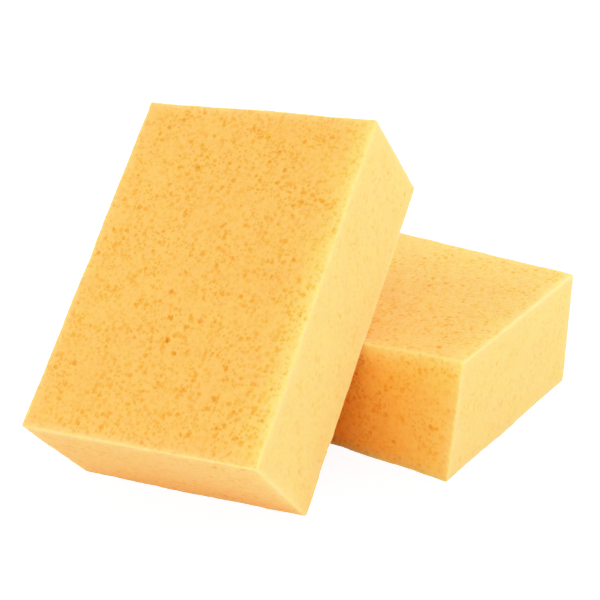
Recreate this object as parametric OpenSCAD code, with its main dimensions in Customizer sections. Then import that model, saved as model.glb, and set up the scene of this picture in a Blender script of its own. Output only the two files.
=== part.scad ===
// Pair of grouting sponges: two equal blocks of open-cell foam.
// One lies flat, and the other stands on its short back edge and leans on it.
// Millimetres, +Z up. The origin is under the middle of the pair, on the
// surface that both sponges stand on. The lying sponge's length runs along X.

/* [Sponge] */
// Length of each sponge
sponge_l = 165; // [150:1:200]
// Width of each sponge
sponge_w = 115; // [90:1:140]
// Thickness of each sponge
sponge_t = 60; // [45:1:65]
// Radius of the knife-cut edges
edge_r = 1.2; // [0.5:0.1:4]

/* [Leaning sponge] */
// Slope of its long sides above the surface, in degrees
lean = 43; // [35:0.5:60]
// Turn about the vertical, counterclockwise from above, in degrees
turn = 10; // [0:0.5:20]
// From the lying sponge's right end to the leaning one's right lower corner
setback = 31.5; // [15:0.5:60]
// Gap between the two edges that meet
gap = 0.3; // [0.1:0.05:1]

/* [Hidden] */
$fn = 48;
foam_colour = [0.98, 0.79, 0.35];
foam_colour_shaded = [0.96, 0.68, 0.24];

// Below, "right" is +X and "front" is -Y. Until the pair is centred, the
// lying sponge's right front lower corner is at [0, 0, 0].

// Right lower back corner of the leaning sponge. Its rounded lower edge
// touches the surface, which puts the sharp corner a little under it.
corner_x = -setback;
corner_z = edge_r * (1 - sin(lean) - cos(lean));

// The leaning sponge's right back edge crosses the lying sponge's upper front
// edge. Both are round, so their centre lines keep two radii and the gap
// apart, measured along the unit normal of the two lines.
across = [0, -sin(lean), cos(turn) * cos(lean)];
normal = across / norm(across);
upper_front = [0, edge_r, sponge_t - edge_r];
edge_offset = leaned([-edge_r, 0, edge_r]);
rise = corner_z + edge_offset.z - upper_front.z;
corner_y = upper_front.y - edge_offset.y + (2 * edge_r + gap - normal.z * rise) / normal.y;

// Box of the pair. The sharp corners stand for the rounded ones.
leaning_left = corner_x - sponge_w * cos(turn) - sponge_l * sin(turn) * cos(lean);
leaning_front = corner_y - sponge_w * sin(turn) - sponge_t * cos(turn) * sin(lean);
centre_x = min(-sponge_l, leaning_left) / 2;
centre_y = (leaning_front + sponge_w) / 2;

// A direction in the leaning sponge's own frame, turned into the shared frame
function leaned(v) = [
    v.x * cos(turn) - (v.y * cos(lean) - v.z * sin(lean)) * sin(turn),
    v.x * sin(turn) + (v.y * cos(lean) - v.z * sin(lean)) * cos(turn),
    v.y * sin(lean) + v.z * cos(lean)
];

// Rectangle with round corners, from [0, 0] to [a, b]
module soft_rectangle(a, b) {
    translate([edge_r, 0])
        square([a - 2 * edge_r, b]);
    translate([0, edge_r])
        square([a, b - 2 * edge_r]);
    for (x = [edge_r, a - edge_r], y = [edge_r, b - edge_r])
        translate([x, y])
            circle(r = edge_r);
}

// Block with round edges, from [0, 0, 0] to [a, b, c]: what three bars
// with round corners, one along each axis, have in common
module sponge(a, b, c) {
    intersection() {
        linear_extrude(height = c)
            soft_rectangle(a, b);
        translate([0, b, 0])
            rotate([90, 0, 0])
                linear_extrude(height = b)
                    soft_rectangle(a, c);
        rotate([90, 0, 90])
            linear_extrude(height = a)
                soft_rectangle(b, c);
    }
}

module lying_sponge() {
    color(foam_colour_shaded)
        translate([-centre_x - sponge_l, -centre_y, 0])
            sponge(sponge_l, sponge_w, sponge_t);
}

module leaning_sponge() {
    color(foam_colour)
        translate([corner_x - centre_x, corner_y - centre_y, corner_z])
            rotate([lean, 0, turn])
                translate([-sponge_w, 0, 0])
                    sponge(sponge_w, sponge_l, sponge_t);
}

lying_sponge();
leaning_sponge();
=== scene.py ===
"""The looks of a pair of grouting sponges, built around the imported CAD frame.

Each sponge is a block of open-cell foam. Its mesh is the surface of a box with rounded edges, warped
at its corners like the block in the photo, roughened, and pitted wherever a bubble of the foam was
cut open. The finest pores are in the material. Lengths are in metres, and a block's own axes are its
length, width and thickness.
"""
import math

import bpy
import numpy as np
from mathutils import Matrix, Vector
from mathutils.kdtree import KDTree


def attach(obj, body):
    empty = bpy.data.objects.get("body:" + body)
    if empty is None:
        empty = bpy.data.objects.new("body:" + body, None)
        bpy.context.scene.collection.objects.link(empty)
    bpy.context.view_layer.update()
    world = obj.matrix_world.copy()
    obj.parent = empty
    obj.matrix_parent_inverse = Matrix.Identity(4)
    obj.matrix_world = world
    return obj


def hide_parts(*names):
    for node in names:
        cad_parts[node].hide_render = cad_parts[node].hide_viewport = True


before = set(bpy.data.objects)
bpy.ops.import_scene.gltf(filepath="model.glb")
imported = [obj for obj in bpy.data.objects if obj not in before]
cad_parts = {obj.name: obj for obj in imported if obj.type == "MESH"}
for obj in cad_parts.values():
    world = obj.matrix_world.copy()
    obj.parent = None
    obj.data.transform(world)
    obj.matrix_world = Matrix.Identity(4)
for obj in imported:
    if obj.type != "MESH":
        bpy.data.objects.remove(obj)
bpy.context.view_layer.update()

MM = 0.001
AXES = (0, 1, 2)  # of a block: length, width, thickness

# Mesh
GRID_STEP = 0.6 * MM
EDGE_RADIUS = 0.9 * MM
EDGE_CELLS = 2  # on each side of a rounded edge
MOST_TRIANGLES = 190_000  # of each sponge

# Relief: (cell size, height) of each layer of smooth noise
RELIEF = (
    (40 * MM, 0.4 * MM),
    (12 * MM, 0.24 * MM),
    (5 * MM, 0.15 * MM),
    (2.6 * MM, 0.08 * MM),
    (1.1 * MM, 0.06 * MM),
)

# Bubbles cut open: (smallest radius, largest radius, how many for each square metre)
BUBBLES = (
    (0.8 * MM, 1.5 * MM, 5.5e3),
    (0.5 * MM, 0.9 * MM, 50e3),
)
BUBBLE_LEVELS = (-0.7, 0.5)  # lowest and highest place of the centre above the surface, in radii
PIT_SHARE = 0.45  # of a cut bubble's depth that is left open
PIT_RIM = 0.5 * MM  # depth over which a pit's rim is rounded
PIT_FREE_EDGE = 2 * MM  # pits fade out this near an edge, so that they don't break the outline

# The kinds of side. tone is the colour, which differs from side to side partly with the foam's cut and partly
# as painted light and shade for how light falls on each side. porous scales how many pits there are and how
# strongly pores show. lit is how much painted light shows beside each of the sides in lit_by. dim is how far
# the side turns to the dim colour, a painted shade, away from the + end of the length. Both are painted after
# the photo's light and shade.
SMOOTH = {"tone": (0.94, 0.418, 0.118), "porous": 0.4, "lit": 0.0, "lit_by": (), "dim": 0.0}
BROAD = {"tone": (0.93, 0.366, 0.081), "porous": 1.0, "lit": 0.85, "lit_by": ((1, -1),), "dim": 0.0}
LAID = {"tone": (0.93, 0.385, 0.1), "porous": 0.85, "lit": 0.35, "lit_by": ((0, 1),), "dim": 0.0}
END = {"tone": (0.93, 0.355, 0.1), "porous": 0.6, "lit": 0.0, "lit_by": (), "dim": 0.0}
# FRONT is painted light and shade: its tone is the lit colour near its + end, and it turns to the dim colour
# away from there
FRONT = {"tone": (0.985, 0.47, 0.1), "porous": 0.9, "lit": 0.85, "lit_by": ((2, 1),), "dim": 1.0}
BACK = {"tone": (0.95, 0.39, 0.08), "porous": 0.6, "lit": 0.85, "lit_by": ((2, 1),), "dim": 0.0}

# The sides of each sponge, by axis and end
LYING_SIDES = {(0, 1): SMOOTH, (0, -1): BACK, (1, 1): BACK, (1, -1): FRONT, (2, 1): LAID, (2, -1): LAID}
LEANING_SIDES = {(0, 1): END, (0, -1): END, (1, 1): BACK, (1, -1): SMOOTH, (2, 1): BROAD, (2, -1): BROAD}
LIT_FADE = 6 * MM  # length over which the painted light fades
DIM_FADE = 30 * MM  # length over which the dim colour, a painted shade, comes in
EDGE_LIGHT_FADE = 2 * MM  # length over which the painted light along an edge fades

# How far each corner is from that of a true block, in mm along its length, width and thickness. They were set
# one by one until the outline matched the photo's. Those that the photo hides are guesses.
LYING_CORNERS = {
    (1, -1, 1): (8.6, 1.4, -0.3),
    (1, 1, 1): (1.8, 0.6, -0.6),
    (1, 1, -1): (-2.0, 0.0, 0.0),
    (1, -1, -1): (2.2, -2.8, 0.0),
    (-1, -1, 1): (0.0, -2.0, 0.5),
    (-1, 1, 1): (0.0, 3.5, 1.5),
    (-1, 1, -1): (0.0, 3.0, 0.0),
}
LEANING_CORNERS = {
    (1, 1, 1): (-0.2, 0.0, -1.1),
    (1, -1, 1): (2.1, -0.9, 0.1),
    (1, -1, -1): (1.0, -1.4, 0.0),
    (-1, -1, -1): (2.3, 0.7, 0.0),
    (-1, -1, 1): (2.7, 0.3, 0.8),
    (-1, 1, 1): (-0.3, 0.8, 0.1),
    (-1, 1, -1): (-0.8, -0.2, 0.2),
}

# Where the lying sponge's upper front edge gives under the leaning one
SAG_PLACE = 35 * MM  # along the length, from the middle
SAG_REACH = 24 * MM
SAG_MOVE = (0.0, -2.0 * MM, -1.9 * MM)

# The UV map and its name.
MAP_NAME = "OFBake"
MAP_MARGIN = 4 * MM  # between the sides on the map
MAP_ROWS = {2: (0, 1), 1: (0, 2), 0: (1, 2)}  # by axis, from the bottom: the axes that go across and up

# The foam's colours, with painted light and shade among them. The first three cover what is there, and the
# others are multiplied with it.
TONE = {
    # dim: painted shade, the deep orange that a side with dim turns to away from its + end
    "dim": (0.985, 0.275, 0.018),
    "glow": (0.96, 0.62, 0.15),  # the painted light
    # edge: painted light, a pale band along the edges as if light came through the foam there
    "edge": (0.95, 0.53, 0.22),
    "warm": (0.99, 0.96, 1.0),  # where the drift is high
    "fine": (0.74, 0.75, 0.4),  # darker speckle, and painted shade in the finest pores
    "spot": (0.86, 0.72, 0.3),  # painted shade in the middling pores
    "pore_shade": (0.87, 0.8, 0.45),  # painted shade in the mesh's pits
}

# The foam's finest bubbles, whose spots are painted shade: (size of a cell, share of the cells with a spot,
# radius of a spot in cells)
FINE_DOTS = (1.6 * MM, 0.75, 0.6)
MIDDLING_DOTS = (3 * MM, 0.5, 0.5)
FAINT_SHARE = 0.2  # of the cells, whose spots are fainter
SPOT_CORE = 0.5  # of a spot's radius, in which it is at its strongest

# The foam's smooth noise: (size of a cell, detail)
MOTTLE = (1.8 * MM, 3)  # speckle and bump
DRIFT = (30 * MM, 2)  # slow change of colour
CLUSTER = (11 * MM, 2)  # where dots are stronger

# How much of their colour some marks give at most
WARM_MOST = 0.5
SPECKLE_MOST = 0.35
EDGE_LIGHT_MOST = 0.55

# The foam's bump, on top of the mesh's relief
MOTTLE_HEIGHT = 0.3  # in bump distances
SPOT_DEPTH = 0.6  # in bump distances
BUMP_DISTANCE = 0.3 * MM
BUMP_STRENGTH = 0.3

SCATTER_LENGTH = 9 * MM  # how far red light goes inside the foam

# The studio. Angles are in degrees, powers in watts and the lens in mm.
FLOOR_SIZE = 8
FLOOR_DROP = 0.2 * MM  # keeps the floor clear of the undersides
FLOOR_GREY = 0.86
FLOOR_GLOW = 1.15
WORLD_STRENGTH = 0.62
BACKDROP_STRENGTH = 2.2
LAMPS = (  # name, azimuth, elevation, power
    ("left", -50, 35, 11),
    ("front", 20, 15, 7),
    ("right_back", 130, 35, 13),
    ("back", 180, 40, 6),
)
LAMP_SIZE = 0.8
LAMP_AIM = (0, 0, 0.06)
LAMP_DISTANCE = 1.2
CAMERA_ANGLES = (37.93, 23.45, -2.57)  # azimuth, elevation, roll
CAMERA_AIM = (0.0316, -0.0311, 0.0896)
CAMERA_DISTANCE = 0.66
CAMERA_LENS = 92

# A photographic tone curve, as (light in the scene, light in the picture): linear up to the middle tones,
# with a soft shoulder in the highlights
SHOULDER = ((0.65, 0.65), (1.0, 0.86), (1.4, 0.96), (2.0, 1.0))
ALL_CHANNELS = 3  # the tone curve's number, after those of red, green and blue


def smooth_noise(points, cell, seed):
    """Smooth random values from -1 to 1 at the points, which change over about one cell."""
    at = points / cell
    low = np.floor(at.min(axis=0)).astype(int)
    whole = np.floor(at).astype(int)
    part = at - whole
    part = part * part * (3 - 2 * part)
    whole -= low
    values = np.random.default_rng(seed).uniform(-1, 1, whole.max(axis=0) + 2)
    total = np.zeros(len(points))
    for corner in np.ndindex(2, 2, 2):
        weight = np.prod(np.where(corner, part, 1 - part), axis=1)
        i, j, k = (whole + corner).T
        total += weight * values[i, j, k]
    return total


def block_of(node):
    """A box-shaped CAD node's centre, half sizes and axes.

    The axes are the columns of a matrix: length, width, thickness.
    """
    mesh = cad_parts[node].data
    axes = []
    for face in sorted(mesh.polygons, key=lambda f: -f.area):
        if all(abs(face.normal.dot(a)) < 0.5 for a in axes):
            axes.append(face.normal.copy())
        if len(axes) == 3:
            break
    points = np.array([v.co for v in mesh.vertices])
    spans = {tuple(a): np.ptp(points @ np.array(a)) for a in axes}
    length, _, thickness = sorted(axes, key=lambda a: -spans[tuple(a)])
    length = length if sum(length) > 0 else -length
    thickness = thickness if thickness.z > 0 else -thickness
    turn = np.array([length, thickness.cross(length), thickness]).T
    local = points @ turn
    centre = turn @ ((local.max(axis=0) + local.min(axis=0)) / 2)
    return centre, (local.max(axis=0) - local.min(axis=0)) / 2, turn


def cell_borders(half):
    """Where the cells of the mesh meet along a side: even steps, then the rounded edges in equal angles."""
    flat = half - EDGE_RADIUS
    middle = np.linspace(-flat, flat, round(2 * flat / GRID_STEP) + 1)
    angles = np.linspace(0, math.pi / 4, EDGE_CELLS + 1)[1:]
    edge = flat + EDGE_RADIUS * np.tan(angles)
    return np.concatenate([-edge[::-1], middle, edge])


def box_surface(half):
    """Points on a sharp box, and the quads that join them, facing outwards."""
    borders = [cell_borders(h) for h in half]
    last = [len(b) - 1 for b in borders]
    quads = []
    for axis in AXES:
        u, v = (axis + 1) % 3, (axis + 2) % 3
        i, j = np.meshgrid(np.arange(last[u]), np.arange(last[v]), indexing="ij")
        for end in (0, last[axis]):
            corners = np.zeros((i.size, 4, 3), int)
            corners[:, :, axis] = end
            for c, (du, dv) in enumerate(((0, 0), (1, 0), (1, 1), (0, 1))):
                corners[:, c, u] = i.ravel() + du
                corners[:, c, v] = j.ravel() + dv
            quads.append(corners if end else corners[:, ::-1])
    corners = np.concatenate(quads).reshape(-1, 3)
    size = [len(b) for b in borders]
    codes, faces = np.unique(np.ravel_multi_index(corners.T, size), return_inverse=True)
    cells = np.unravel_index(codes, size)
    points = np.stack([b[c] for b, c in zip(borders, cells)], axis=1)
    return points, faces.reshape(-1, 4)


def rounded(points, half):
    """The points moved onto the box with rounded edges, and the way out of it at each."""
    core = np.clip(points, -(half - EDGE_RADIUS), half - EDGE_RADIUS)
    out = points - core
    out /= np.linalg.norm(out, axis=1, keepdims=True)
    return core + EDGE_RADIUS * out, out


def corner_warp(points, half, corners):
    """How far each point moves with the block's corners."""
    share = points / half
    move = np.zeros_like(points)
    for corner, shift in corners.items():
        weight = np.prod((1 + share * corner) / 2, axis=1)
        move += weight[:, None] * np.array(shift) * MM
    return move


def sag(points, half):
    """How far each point of the lying sponge moves where the leaning one presses on its upper front edge."""
    edge = np.array([SAG_PLACE, -half[1], half[2]])
    away = np.linalg.norm(points - edge, axis=1) / SAG_REACH
    return np.exp(-away[:, None] ** 2) * np.array(SAG_MOVE)


def bubble_depths(points, out, half, sides, seed):
    """How deep the cut bubbles reach below each surface point. Small bubbles are the commonest."""
    rng = np.random.default_rng(seed)
    tree = KDTree(len(points))
    for i, p in enumerate(points):
        tree.insert(p, i)
    tree.balance()
    depth = np.zeros(len(points))
    for axis in AXES:
        u, v = (axis + 1) % 3, (axis + 2) % 3
        area = 4 * half[u] * half[v]
        for side in (-1, 1):
            for small, large, density in BUBBLES:
                for _ in range(round(area * density * sides[axis, side]["porous"])):
                    radius = small + (large - small) * rng.random() ** 2
                    centre = np.zeros(3)
                    centre[axis] = side * (half[axis] + radius * rng.uniform(*BUBBLE_LEVELS))
                    centre[u] = half[u] * rng.uniform(-1, 1)
                    centre[v] = half[v] * rng.uniform(-1, 1)
                    near = [i for _, i, _ in tree.find_range(centre, radius)]
                    if not near:
                        continue
                    away = points[near] - centre
                    along = (away * out[near]).sum(axis=1)
                    reach = along + np.sqrt(along**2 - (away**2).sum(axis=1) + radius**2)
                    depth[near] = np.maximum(depth[near], reach)
    return depth


def by_side(out, sides, key):
    """One of the values of the sides, blended across the edges. Each point has a row."""
    return sum(
        (out[:, [axis]] * side).clip(0, 1) ** 2 * np.array(kind[key])
        for (axis, side), kind in sides.items())


def light_inside(sharp, out, half, sides):
    """How much painted light each point shows, as if it came through the foam from another side."""
    total = np.zeros(len(sharp))
    for (axis, side), kind in sides.items():
        share = kind["lit"] * (out[:, axis] * side).clip(0, 1) ** 2
        for from_axis, end in kind["lit_by"]:
            total += share * np.exp((end * sharp[:, from_axis] - half[from_axis]) / LIT_FADE)
    return total


def press_on_floor(mesh):
    """Presses whatever lies below the floor flat on it."""
    shape = np.zeros(len(mesh.vertices) * 3, np.float32)
    mesh.vertices.foreach_get("co", shape)
    shape[2::3] = shape[2::3].clip(0, None)
    mesh.vertices.foreach_set("co", shape)


def sponge(name, node, corners, sides, seed, carries):
    """One sponge in the place of its CAD node. carries is true of the one that the other leans on."""
    centre, half, turn = block_of(node)
    sharp, faces = box_surface(half)
    points, out = rounded(sharp, half)
    depth = bubble_depths(points, out, half, sides, seed)
    height = sum(h * smooth_noise(points, cell, seed + n) for n, (cell, h) in enumerate(RELIEF, 1))
    inner = np.sort(half - np.abs(sharp), axis=1)[:, 1]  # distance from the nearest edge
    pit = PIT_SHARE * depth**2 / (depth + PIT_RIM) * (inner / PIT_FREE_EDGE).clip(0, 1)
    shape = points + corner_warp(points, half, corners) + out * (height - pit)[:, None]
    if carries:
        shape += sag(points, half)
    mesh = bpy.data.meshes.new(name)
    mesh.from_pydata((shape @ turn.T + centre).tolist(), [], faces.tolist())
    marks = {
        "depth": depth / MM,  # in mm, and all the others from 0 to about 1
        # painted light along the edges
        "edge": np.exp(-inner / EDGE_LIGHT_FADE),
        "porous": by_side(out, sides, "porous")[:, 0],
        # painted shade, rising away from the + end of the length
        "dim": by_side(out, sides, "dim")[:, 0] * (1 - np.exp((sharp[:, 0] - half[0]) / DIM_FADE)),
        "glow": light_inside(sharp, out, half, sides),
    }
    for key, values in marks.items():
        mesh.attributes.new(key, "FLOAT", "POINT").data.foreach_set("value", values.astype(np.float32))
    for key, values in {"place": sharp, "tone": by_side(out, sides, "tone")}.items():
        layer = mesh.attributes.new(key, "FLOAT_VECTOR", "POINT")
        layer.data.foreach_set("vector", values.astype(np.float32).ravel())
    piece = bpy.data.objects.new(name, mesh)
    bpy.context.scene.collection.objects.link(piece)
    thinner = piece.modifiers.new("thinner", "DECIMATE")
    thinner.ratio = MOST_TRIANGLES / (2 * len(faces))
    bpy.context.view_layer.objects.active = piece
    piece.select_set(True)
    bpy.ops.object.modifier_apply(modifier=thinner.name)
    piece.select_set(False)
    press_on_floor(mesh)
    unwrap(mesh, half)
    mesh.shade_smooth()
    return piece


def unwrap(mesh, half):
    """A map of the six sides, each by the place that its points have on a true block.

    The two sides of an axis lie beside each other in a row.
    """
    place = np.zeros(len(mesh.vertices) * 3, np.float32)
    mesh.attributes["place"].data.foreach_get("vector", place)
    place = place.reshape(-1, 3)
    starts = np.zeros(len(mesh.polygons), int)
    mesh.polygons.foreach_get("loop_start", starts)
    corners = np.zeros(len(mesh.loops), int)
    mesh.loops.foreach_get("vertex_index", corners)
    at = place[corners]
    counts = np.diff(np.append(starts, len(corners)))
    middle = np.add.reduceat(at, starts) / counts[:, None]
    axis = np.argmax(np.abs(middle) - half, axis=1)
    below = middle[np.arange(len(axis)), axis] < 0
    span = 2 * half
    width = 2 * span[0] + 3 * MAP_MARGIN
    bottom = MAP_MARGIN
    uv = np.zeros((len(corners), 2))
    for a, (u, v) in MAP_ROWS.items():
        here = np.repeat(axis == a, counts)
        second = np.repeat(below, counts)[here]
        uv[here, 0] = at[here, u] + half[u] + MAP_MARGIN + second * (span[u] + MAP_MARGIN)
        uv[here, 1] = at[here, v] + half[v] + bottom
        bottom += span[v] + MAP_MARGIN
    layer = mesh.uv_layers.new(name=MAP_NAME)
    layer.data.foreach_set("uv", (uv / width).astype(np.float32).ravel())


class Nodes:
    """Short ways to add and join shader nodes."""

    def __init__(self, tree):
        self.tree = tree
        tree.nodes.clear()

    def add(self, kind, inputs=(), **settings):
        """A new node. inputs gives its sockets a value each, or another node's output."""
        node = self.tree.nodes.new(kind)
        for key, value in settings.items():
            setattr(node, key, value)
        for key, value in dict(inputs).items():
            if isinstance(value, bpy.types.NodeSocket):
                self.tree.links.new(value, node.inputs[key])
            else:
                node.inputs[key].default_value = value
        return node

    def math(self, operation, *values):
        return self.add("ShaderNodeMath", enumerate(values), operation=operation).outputs[0]

    def product(self, *values):
        """The values multiplied, from the first to the last."""
        total = values[0]
        for value in values[1:]:
            total = self.math("MULTIPLY", total, value)
        return total

    def fade(self, value, low, high, to_low=0.0, to_high=1.0):
        """The value as it goes from low to high, turned smoothly into to_low to to_high."""
        inputs = {"Value": value, 1: low, 2: high, 3: to_low, 4: to_high}
        node = self.add("ShaderNodeMapRange", inputs, interpolation_type="SMOOTHSTEP")
        return node.outputs["Result"]

    def mix(self, share, first, second, blend="MIX"):
        """Two colours mixed. share is how much of the second one there is."""
        node = self.add("ShaderNodeMix", data_type="RGBA", blend_type=blend)
        for socket, value in ((0, share), (6, first), (7, second)):
            if isinstance(value, bpy.types.NodeSocket):
                self.tree.links.new(value, node.inputs[socket])
            else:
                node.inputs[socket].default_value = value if socket == 0 else (*value, 1)
        return node.outputs[2]

    def attribute(self, name, output="Fac"):
        return self.add("ShaderNodeAttribute", attribute_name=name).outputs[output]


def foam(name, seed):
    """Open-cell foam. Its patterns lie at different offsets, in metres, so that none repeats another."""
    material = bpy.data.materials.new(name)
    material.use_nodes = True
    n = Nodes(material.node_tree)
    place = n.add("ShaderNodeTexCoord").outputs["Object"]

    def pattern(kind, size, offset, **inputs):
        """A texture node with cells of that size."""
        moved = n.add("ShaderNodeVectorMath", {0: place, 1: (offset, seed, 0)}, operation="ADD")
        return n.add(kind, {"Vector": moved.outputs[0], "Scale": 1 / size, **inputs})

    def noise(size, detail, offset):
        return pattern("ShaderNodeTexNoise", size, offset, Detail=detail).outputs[0]

    def dots(size, share, radius, offset):
        """Round spots, 1 in the middle: the finest bubbles, where the cut goes through them. They carry
        painted shade and bump.
        """
        cells = pattern("ShaderNodeTexVoronoi", size, offset)
        spot = n.fade(cells.outputs["Distance"], radius, SPOT_CORE * radius)
        pick = n.add("ShaderNodeSeparateColor", {0: cells.outputs["Color"]}).outputs[0]
        return n.math("MULTIPLY", spot, n.fade(pick, 1 - share, 1 - share + FAINT_SHARE))

    depth = n.attribute("depth")
    edge = n.attribute("edge")
    porous = n.attribute("porous")
    dim = n.attribute("dim")
    glow = n.attribute("glow")
    side = n.attribute("tone", "Color")
    fine = dots(*FINE_DOTS, offset=0.1)
    middling = dots(*MIDDLING_DOTS, offset=0.2)
    mottle = noise(*MOTTLE, offset=0.3)
    drift = noise(*DRIFT, offset=0.4)
    cluster = n.fade(noise(*CLUSTER, offset=0.5), low=0.35, high=0.6, to_low=0.5)

    fine = n.product(fine, cluster, porous)
    middling = n.product(middling, cluster, porous)
    speckle = n.product(n.fade(mottle, low=0.42, high=0.68, to_high=SPECKLE_MOST), porous)
    # painted shade in the mesh's pits, the deeper the darker
    pits = n.product(n.fade(depth, low=0.1, high=1.2), porous)
    warm = n.fade(drift, low=0.35, high=0.65, to_high=WARM_MOST)

    # painted shade: the side's tone turns to the dim colour
    colour = n.mix(dim, side, TONE["dim"])
    colour = n.mix(warm, colour, TONE["warm"], "MULTIPLY")
    colour = n.mix(glow, colour, TONE["glow"])
    # painted shade in the finest and middling pores, and a darker speckle
    colour = n.mix(n.math("MAXIMUM", speckle, fine), colour, TONE["fine"], "MULTIPLY")
    colour = n.mix(middling, colour, TONE["spot"], "MULTIPLY")
    colour = n.mix(pits, colour, TONE["pore_shade"], "MULTIPLY")
    # painted light: a pale band along the edges
    colour = n.mix(n.product(edge, EDGE_LIGHT_MOST), colour, TONE["edge"])

    spots = n.math("MAXIMUM", fine, middling)
    height = n.math("SUBTRACT", n.product(mottle, MOTTLE_HEIGHT), n.product(spots, SPOT_DEPTH))
    bump = n.add("ShaderNodeBump", {
        "Height": height,
        "Strength": BUMP_STRENGTH,
        "Distance": BUMP_DISTANCE,
    })
    shader = n.add("ShaderNodeBsdfPrincipled", {
        "Base Color": colour,
        "Roughness": 0.92,
        "Specular IOR Level": 0.1,
        "Subsurface Weight": 1.0,
        "Subsurface Radius": (1.0, 0.4, 0.1),
        "Subsurface Scale": SCATTER_LENGTH,
        "Normal": bump.outputs[0],
    })
    n.add("ShaderNodeOutputMaterial", {"Surface": shader.outputs[0]})
    return material


def studio_floor():
    """A plain pale table. It shines a little, but for the camera alone, which sees it white."""
    mesh = bpy.data.meshes.new("floor")
    r = FLOOR_SIZE / 2
    mesh.from_pydata([(-r, -r, 0), (r, -r, 0), (r, r, 0), (-r, r, 0)], [], [(0, 1, 2, 3)])
    floor = bpy.data.objects.new("floor", mesh)
    bpy.context.scene.collection.objects.link(floor)
    floor.location.z = -FLOOR_DROP
    material = bpy.data.materials.new("floor")
    material.use_nodes = True
    n = Nodes(material.node_tree)
    shader = n.add("ShaderNodeBsdfPrincipled", {
        "Base Color": (FLOOR_GREY, FLOOR_GREY, FLOOR_GREY, 1),
        "Roughness": 0.8,
        "Emission Color": (1, 1, 1, 1),
    })
    seen = n.add("ShaderNodeLightPath").outputs["Is Camera Ray"]
    n.tree.links.new(n.product(seen, FLOOR_GLOW), shader.inputs["Emission Strength"])
    n.add("ShaderNodeOutputMaterial", {"Surface": shader.outputs[0]})
    mesh.materials.append(material)


def studio_world():
    """Even light from all round. It is stronger for the camera alone, which sees it white."""
    world = bpy.data.worlds.new("studio")
    world.use_nodes = True
    n = Nodes(world.node_tree)
    seen = n.add("ShaderNodeLightPath").outputs["Is Camera Ray"]
    strength = n.math("MULTIPLY_ADD", seen, BACKDROP_STRENGTH - WORLD_STRENGTH, WORLD_STRENGTH)
    shader = n.add("ShaderNodeBackground", {"Color": (1, 1, 1, 1), "Strength": strength})
    n.add("ShaderNodeOutputWorld", {"Surface": shader.outputs[0]})
    bpy.context.scene.world = world


def direction(azimuth, elevation):
    """The way from the object to a viewer or lamp. Azimuth 0 is at -Y, and 90 at +X."""
    a, e = math.radians(azimuth), math.radians(elevation)
    return Vector((math.sin(a) * math.cos(e), -math.cos(a) * math.cos(e), math.sin(e)))


def lamp(name, azimuth, elevation, power):
    """A soft square light that faces the sponges."""
    light = bpy.data.lights.new(name, "AREA")
    light.shape = "SQUARE"
    light.size = LAMP_SIZE
    light.energy = power
    o = bpy.data.objects.new(name, light)
    bpy.context.scene.collection.objects.link(o)
    away = direction(azimuth, elevation)
    o.location = Vector(LAMP_AIM) + LAMP_DISTANCE * away
    o.rotation_euler = away.to_track_quat("Z", "Y").to_euler()


def camera():
    """The camera, from its place on a sphere round the point that it faces."""
    azimuth, elevation, roll = CAMERA_ANGLES
    back = direction(azimuth, elevation)
    right = direction(azimuth + 90, 0)
    turn = Matrix((right, back.cross(right), back)).transposed()
    turn = turn @ Matrix.Rotation(math.radians(roll), 3, "Z")
    data = bpy.data.cameras.new("camera")
    data.lens = CAMERA_LENS
    o = bpy.data.objects.new("camera", data)
    bpy.context.scene.collection.objects.link(o)
    o.matrix_world = Matrix.Translation(Vector(CAMERA_AIM) + CAMERA_DISTANCE * back) @ turn.to_4x4()
    bpy.context.scene.camera = o


def film():
    """How light turns into the colours of the picture."""
    view = bpy.context.scene.view_settings
    view.view_transform = "Standard"
    view.use_curve_mapping = True
    mapping = view.curve_mapping
    mapping.clip_max_x = SHOULDER[-1][0]
    points = mapping.curves[ALL_CHANNELS].points
    points[1].location = SHOULDER[-1]
    for place in SHOULDER[:-1]:
        points.new(*place)
    mapping.update()


studio_floor()
for settings in LAMPS:
    lamp(*settings)
camera()
studio_world()
film()

SPONGES = (  # node, name, corners, sides, seed, whether it carries the other
    ("lying_sponge", "lying_foam", LYING_CORNERS, LYING_SIDES, 11, True),
    ("leaning_sponge", "leaning_foam", LEANING_CORNERS, LEANING_SIDES, 47, False),
)
for node, name, corners, sides, seed, carries in SPONGES:
    piece = sponge(name, node, corners, sides, seed, carries)
    piece.data.materials.append(foam(name, seed))
    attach(piece, node)
    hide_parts(node)
